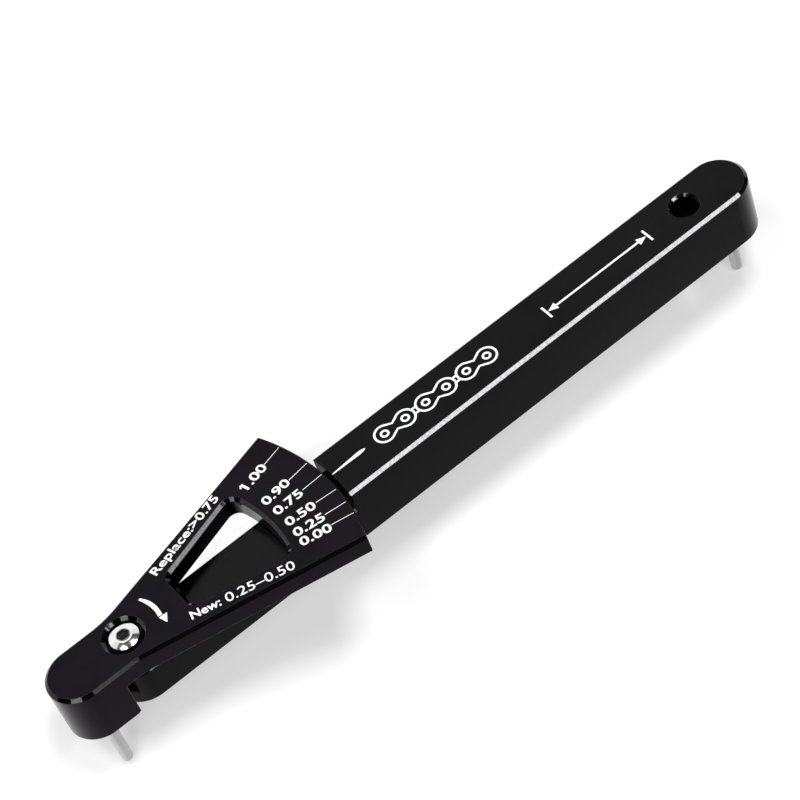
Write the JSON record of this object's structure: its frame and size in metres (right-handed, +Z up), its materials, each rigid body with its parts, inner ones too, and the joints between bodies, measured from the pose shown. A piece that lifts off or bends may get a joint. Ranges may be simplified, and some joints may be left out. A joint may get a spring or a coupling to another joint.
{
  "type": "chain wear gauge",
  "caption": "Hand gauge for roller chain stretch: a flat bar with a fixed pin, and a fan-shaped dial that swings on a screw and carries the moving pin.",
  "frame": {"origin": "on the fixed pin's axis, at the bar's underside; the gauge lies as it comes to rest, on both pin tips and the dial's far corner", "axes": "+X from the fixed pin to the moving pin, +Z up from the surface that the gauge lies on; the top face leans towards -Y"},
  "size_m": [0.1549, 0.0306, 0.0261],
  "materials": {
    "bar_anodised": "black anodised, satin",
    "dial_anodised": "black anodised, satin",
    "pin_steel": "ground, matt",
    "screw_steel": "polished"
  },
  "bodies": {
    "bar_body": {"bar": "bar_anodised", "fixed_pin": "pin_steel", "pivot_screw": "screw_steel"},
    "dial_body": {"dial": "dial_anodised", "moving_pin": "pin_steel"}
  },
  "joints": [
    {"name": "dial_turn", "type": "hinge", "parent": "bar_body", "child": "dial_body", "pos_m": [0.13317, -0.00196, -0.00205], "axis": [0, -0.7226, 0.6912], "range_deg": [-84, 77]}
  ]
}
